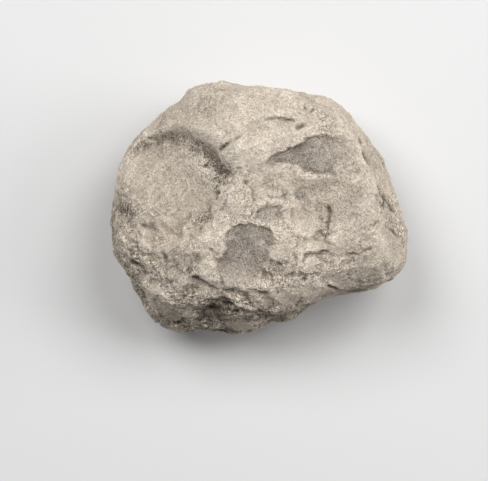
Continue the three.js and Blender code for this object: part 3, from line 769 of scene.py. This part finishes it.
# Some patches of the break are smooth and the next ones crumbly, with a sharp change between them.
patch = cells(tree, place, millimetres["Patch Size"], 0.91)[1].outputs["Color"]
crumbly = tree.between(tree.vector("DOT_PRODUCT", patch, (1.0, 0.0, 0.0)), 0.1, 0.9, 0.35, 1.45)
roughly = tree.math("MULTIPLY", roughly, crumbly)
blockily = tree.math("MULTIPLY", blockily, tree.math("MULTIPLY_ADD", crumbly, 0.5, 0.5))
height = tree.math("MULTIPLY", pitted, roughly)
for kind, shape, seed, share in (
    ("Spall", scallops, 0.53, blockily), ("Facet", chips, 0.79, blockily),
    ("Chip", chips, 0.11, blockily), ("Small Chip", chips, 0.37, roughly),
):
    form = shape(tree, place, millimetres[kind + " Size"], seed)
    tall = tree.math("MULTIPLY", millimetres[kind + " Height"], share)
    height = tree.math("MULTIPLY_ADD", form, tall, height)
height = tree.math("MULTIPLY_ADD", grain, tree.between(roughly, 0.0, 1.0, 0.5, 1.0), height)
normal = tree.add("GeometryNodeInputNormal").outputs[0]
push = {0: normal, "Scale": tree.math("MULTIPLY", height, loosely)}
offset = tree.add("ShaderNodeVectorMath", push, operation="SCALE").outputs[0]
moved = tree.add("GeometryNodeSetPosition", {"Geometry": given["Geometry"], "Offset": offset}).outputs[0]
noted = {"Geometry": moved, "Name": "rough", "Value": roughly}
moved = tree.add("GeometryNodeStoreNamedAttribute", noted, data_type="FLOAT", domain="POINT").outputs[0]
real = tree.add("GeometryNodeRealizeInstances", {"Geometry": moved}).outputs[0]
coated = tree.add("GeometryNodeSetMaterial", {"Geometry": real, "Material": given["Finish"]}).outputs[0]
tree.add("NodeGroupOutput", {"Geometry": coated})

chalk = bpy.data.materials.new("chalk")
chips_and_grain = stone.modifiers.new("chips_and_grain", "NODES")
chips_and_grain.node_group = grain_group
for name, value in BREAK.items():
    chips_and_grain[grain_sockets[name]] = value
chips_and_grain[finish_socket.identifier] = chalk
bake(stone)

# The flat of the back is level, and nothing reaches below it.
for corner in stone.data.vertices:
    corner.co.z = max(corner.co.z, 0.0)

# How far each spot stands proud of the skin round it, at two scales: where it is low the finish paints shade
# and dirt, and handling cleans and whitens what stands out. Handling has also knocked off whatever stood out
# as a spike.
SPIKE = 0.22
at, facing = skin_of(stone)
count = len(at)
ends = np.empty(len(stone.data.edges) * 2, np.int32)
stone.data.edges.foreach_get("vertices", ends)
one, other = ends.reshape(-1, 2).T
neighbours = np.bincount(one, minlength=count) + np.bincount(other, minlength=count)


def relaxed(places, rounds):
    """The skin with its bumps evened out, by moving each corner to the middle of its neighbours."""
    for _ in range(rounds):
        places = np.column_stack([
            (np.bincount(one, axis[other], count) + np.bincount(other, axis[one], count)) / neighbours
            for axis in places.T
        ])
    return places


FINE_ROUNDS = 5
BROAD_ROUNDS = 70
BROAD_RANGE = 2.0  # how much height the broad measure spans
fine = np.einsum("ij,ij->i", at - relaxed(at, FINE_ROUNDS), facing)
at -= facing * np.maximum(fine - SPIKE, 0)[:, None]
stone.data.vertices.foreach_set("co", (at * MM).astype(np.float32).ravel())
fine = np.minimum(fine, SPIKE)
broad = np.einsum("ij,ij->i", at - relaxed(at, BROAD_ROUNDS), facing)
note_on_skin(stone, "proud_fine", np.clip(0.5 + fine / (2 * SPIKE), 0, 1))
note_on_skin(stone, "proud_broad", np.clip(0.5 + broad / BROAD_RANGE, 0, 1))
stone.data.polygons.foreach_set("use_smooth", np.ones(len(stone.data.polygons), bool))
CRISP = math.radians(22)  # faces that meet at more than this keep a crisp edge
stone.data.set_sharp_from_angle(angle=CRISP)

# --- The chalk's finish -----------------------------------------------------------------------------------
# Dry, matt and powdery. Cream-grey weathered chalk, greyer and cooler in fresh scars, whiter on bruised lips
# and worn edges, browner where dirt stays, darkened with painted shade in hollows, cracks and at the foot of
# steps, and speckled at every scale down to single grains.
CREAM = (0.623, 0.54, 0.442, 1)
BUFF = (0.565, 0.484, 0.395, 1)
PALE = (0.825, 0.73, 0.615, 1)
GREY = (0.365, 0.32, 0.275, 1)
# Dirt's brown, also used for painted shade, and tinted a little red like shade that takes warm bounced light.
DIRT_AND_SHADE = (0.19, 0.148, 0.118, 1)

chalk.use_nodes = True
coat = Tree(chalk.node_tree)
shader = chalk.node_tree.nodes["Principled BSDF"]
spot = coat.add("ShaderNodeTexCoord").outputs["Object"]


def read(name):
    return coat.add("ShaderNodeAttribute", attribute_name=name).outputs["Fac"]


def speckle(size, detail=2.0, harshness=0.5):
    """Cloudy noise about 0 to 1; size is in millimetres."""
    values = {"Vector": spot, "Scale": 1 / (size * MM), "Detail": detail, "Roughness": harshness}
    return coat.add("ShaderNodeTexNoise", values).outputs[0]


def blend(share, one_colour, other_colour):
    """One colour at a share of 0, and the other at 1."""
    mix = coat.add("ShaderNodeMix", data_type="RGBA", blend_type="MIX")
    sockets = (mix.inputs[0], mix.inputs[6], mix.inputs[7])
    for socket, value in zip(sockets, (share, one_colour, other_colour)):
        if isinstance(value, bpy.types.NodeSocket):
            chalk.node_tree.links.new(value, socket)
        else:
            socket.default_value = value
    return mix.outputs[2]


colour = blend(coat.between(speckle(16, 3), 0.35, 0.65), CREAM, BUFF)
colour = blend(coat.math("MULTIPLY", coat.between(speckle(4.5, 3), 0.5, 0.7), 0.2), colour, PALE)
fresh_share = coat.math("MULTIPLY", read("fresh"), coat.between(speckle(3, 3), 0.2, 0.6, 0.85, 1.05))
# Dust whitens the chalk, and on the scoop's shaded wall the same share paints light.
colour = blend(read("dust_and_painted_light"), colour, PALE)
colour = blend(fresh_share, colour, GREY)
colour = blend(coat.math("MULTIPLY", read("bruised"), 0.8), colour, PALE)
# What stands proud is worn pale, and what lies low is darkened with painted shade and dirt, each up to a
# share of the way.
for measure, end, most, tint in (
    ("proud_fine", 1.0, 0.5, PALE), ("proud_fine", 0.0, 0.4, DIRT_AND_SHADE),
    ("proud_broad", 1.0, 0.32, PALE), ("proud_broad", 0.0, 0.34, DIRT_AND_SHADE),
):
    colour = blend(coat.math("MULTIPLY", coat.between(read(measure), 0.5, end), most), colour, tint)
# Painted shade and dirt darken the foot of each step and the insides of cracks and pits.
colour = blend(coat.math("MULTIPLY", read("painted_shade_and_dirt"), 0.55), colour, DIRT_AND_SHADE)
# Soil darkens it in patches, and so does painted shade under the scoop's north rim and on the -Y flank.
soil_and_shade_patches = coat.between(speckle(2.2, 4, 0.6), 0.35, 0.65, 0.15, 0.9)
colour = blend(coat.math("MULTIPLY", read("soil_and_painted_shade"), soil_and_shade_patches), colour, DIRT_AND_SHADE)


def grains(size):
    """A random brightness for each grain, 0 to 1, and how far each spot is from its grain's middle."""
    grain = coat.add("ShaderNodeTexVoronoi", {"Vector": spot, "Scale": 1 / (size * MM)}, feature="F1")
    return coat.vector("DOT_PRODUCT", grain.outputs["Color"], (1.0, 0.0, 0.0)), grain.outputs["Distance"]


def flecks(size, seed, amount):
    """Short curved dark marks, 1 in a mark: the thin line where a wide noise crosses its middle, kept only
    where a second noise is high."""
    moved = coat.vector("ADD", spot, (seed, seed * 0.7, seed * 0.4))
    line = coat.add("ShaderNodeTexNoise", {"Vector": moved, "Scale": 1 / (size * MM), "Detail": 1.0})
    from_line = coat.math("ABSOLUTE", coat.math("SUBTRACT", line.outputs[0], 0.5))
    thin = coat.between(from_line, 0.045, 0.0)
    kept = coat.between(speckle(size * 0.6 + seed, 1), 1 - amount, 1.12 - amount)
    return coat.math("MULTIPLY", thin, kept)


marks = coat.math("MAXIMUM", flecks(1.6, 0.13, 0.52), coat.math("MULTIPLY", flecks(3.4, 0.29, 0.5), 0.8))
mark_share = coat.math("MULTIPLY", marks, coat.between(read("rough"), 0.1, 0.9, 0.3, 0.55))
colour = blend(mark_share, colour, DIRT_AND_SHADE)


def strokes(patch, length, width):
    """Fine hackle lines, as a break leaves them: streaks that run one way in each patch, about 0 to 1."""
    waves = coat.add("ShaderNodeTexNoise", {"Vector": spot, "Scale": 150.0}).outputs["Color"]
    wavy = coat.vector("MULTIPLY_ADD", waves, (0.006, 0.006, 0.006), spot)
    cell = coat.add("ShaderNodeTexVoronoi", {"Vector": wavy, "Scale": 1 / (patch * MM)}, feature="F1")
    turn = coat.math("MULTIPLY", coat.vector("DOT_PRODUCT", cell.outputs["Color"], (1.0, 0.0, 0.0)), math.pi)
    turned = coat.add("ShaderNodeVectorRotate", {"Vector": wavy, "Angle": turn}, rotation_type="Z_AXIS")
    stretch = (1 / (length * MM), 1 / (width * MM), 1 / (width * MM))
    streaks = {"Vector": coat.vector("MULTIPLY", turned.outputs[0], stretch), "Scale": 1.0}
    return coat.add("ShaderNodeTexNoise", {**streaks, "Detail": 2.0, "Roughness": 0.6}).outputs[0]


BROAD_HACKLE = 0.4  # the weight of the broad hackle lines beside the fine ones
broad_strokes = coat.math("MULTIPLY", strokes(11.0, 5.0, 0.7), BROAD_HACKLE)
hackle = coat.math("ADD", strokes(6.0, 2.6, 0.3), broad_strokes)
hackle = coat.math("DIVIDE", hackle, 1 + BROAD_HACKLE)
hackle_tone = coat.between(hackle, 0.37, 0.63, -0.5, 0.5)

# Single grains: each one is a little lighter or darker than the next, more so where the break is rough.
fine_tone, from_middle = grains(0.34)
coarse_tone, _ = grains(0.8)
contrast = coat.math("MULTIPLY_ADD", read("fresh"), 0.5, coat.between(read("rough"), 0.2, 0.9, 0.5, 1.2))
tone = coat.math("ADD", coat.math("MULTIPLY", fine_tone, 0.8), coat.math("MULTIPLY", coarse_tone, 0.2))
tone = coat.math("MULTIPLY_ADD", coat.math("SUBTRACT", tone, 0.5), contrast, 1.02)
tone = coat.math("MULTIPLY_ADD", hackle_tone, coat.between(read("rough"), 0.2, 0.9, 0.46, 1.2), tone)
DARKEST = 0.3  # no grain is darker than this share of the colour under it
tone = coat.math("MAXIMUM", tone, DARKEST)
colour = coat.add("ShaderNodeVectorMath", {0: colour, "Scale": tone}, operation="SCALE").outputs[0]
chalk.node_tree.links.new(colour, shader.inputs["Base Color"])

bumps = coat.math("MULTIPLY", from_middle, -0.4)
bumps = coat.math("MULTIPLY_ADD", speckle(0.8, 3, 0.6), 0.5, bumps)
bumps = coat.math("MULTIPLY_ADD", marks, -0.9, bumps)
bumps = coat.math("MULTIPLY_ADD", hackle, 2.5, bumps)
TILT_SEED = 0.71
for size, height in ((1.3, 0.9), (2.6, 1.3)):
    bumps = coat.math("MULTIPLY_ADD", chips(coat, spot, size * MM, TILT_SEED), height, bumps)
strength = coat.between(read("rough"), 0.1, 0.9, 0.6, 1.0)
RELIEF = 0.42  # how deep the finest relief is
relief = coat.add("ShaderNodeBump", {"Strength": strength, "Distance": RELIEF * MM, "Height": bumps})
chalk.node_tree.links.new(relief.outputs[0], shader.inputs["Normal"])
chalk.node_tree.links.new(coat.between(speckle(1.5), 0.3, 0.7, 0.88, 1.0), shader.inputs["Roughness"])
shader.inputs["Specular IOR Level"].default_value = 0.2

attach(stone, "root")
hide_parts("chalk_lump")

# --- Floor, lights and camera -----------------------------------------------------------------------------
# A pale matt tabletop, painted and level, under soft light from two windows beyond the lump's far side and
# a weaker one at its right. The camera looks straight down.
floor_mesh = bpy.data.meshes.new("tabletop")
FLOOR_REACH = 2.0
floor_corners = [(x * FLOOR_REACH, y * FLOOR_REACH, 0) for x, y in ((-1, -1), (1, -1), (1, 1), (-1, 1))]
floor_mesh.from_pydata(floor_corners, [], [(0, 1, 2, 3)])
floor = bpy.data.objects.new("tabletop", floor_mesh)
bpy.context.scene.collection.objects.link(floor)
tabletop = bpy.data.materials.new("tabletop")
tabletop.use_nodes = True
paint = tabletop.node_tree.nodes["Principled BSDF"]
paint.inputs["Base Color"].default_value = (0.8, 0.8, 0.8, 1)
paint.inputs["Roughness"].default_value = 0.9
floor_mesh.materials.append(tabletop)

LIT_SPOT = Vector((0, 0, 0.03))
LAMP_SIZE = 0.7
ROOM_LIGHT = 0.11


def soft_light(name, place, power):
    """A round lamp that faces the lump."""
    lamp = bpy.data.lights.new(name, "AREA")
    lamp.shape = "DISK"
    lamp.size = LAMP_SIZE
    lamp.energy = power
    held = bpy.data.objects.new(name, lamp)
    bpy.context.scene.collection.objects.link(held)
    held.location = place
    held.rotation_mode = "QUATERNION"
    held.rotation_quaternion = (LIT_SPOT - Vector(place)).to_track_quat("-Z", "Y")


soft_light("window_left", (-0.49, 0.49, 0.98), 7.5)
soft_light("window_right", (0.49, 0.49, 0.98), 6.6)
soft_light("side", (1.0, 0.15, 0.6), 4.8)
room = bpy.data.worlds.new("room")
room.use_nodes = True
room.node_tree.nodes["Background"].inputs["Color"].default_value = (1, 1, 1, 1)
room.node_tree.nodes["Background"].inputs["Strength"].default_value = ROOM_LIGHT
bpy.context.scene.world = room
bpy.context.scene.view_settings.view_transform = "Standard"

IMAGE_WIDTH = 488  # pixels
PIXEL = 0.355 * MM  # what one of them spans at SPAN_HEIGHT
SPAN_HEIGHT = 0.022
CAMERA_HEIGHT = 0.600
AIM = (-15.4 * PIXEL, -31 * PIXEL)  # the middle of the view, beside the lump's middle
lens = bpy.data.cameras.new("camera")
lens.sensor_width = 36
lens.lens = lens.sensor_width * (CAMERA_HEIGHT - SPAN_HEIGHT) / (IMAGE_WIDTH * PIXEL)
camera = bpy.data.objects.new("camera", lens)
bpy.context.scene.collection.objects.link(camera)
camera.location = (*AIM, CAMERA_HEIGHT)
bpy.context.scene.camera = camera
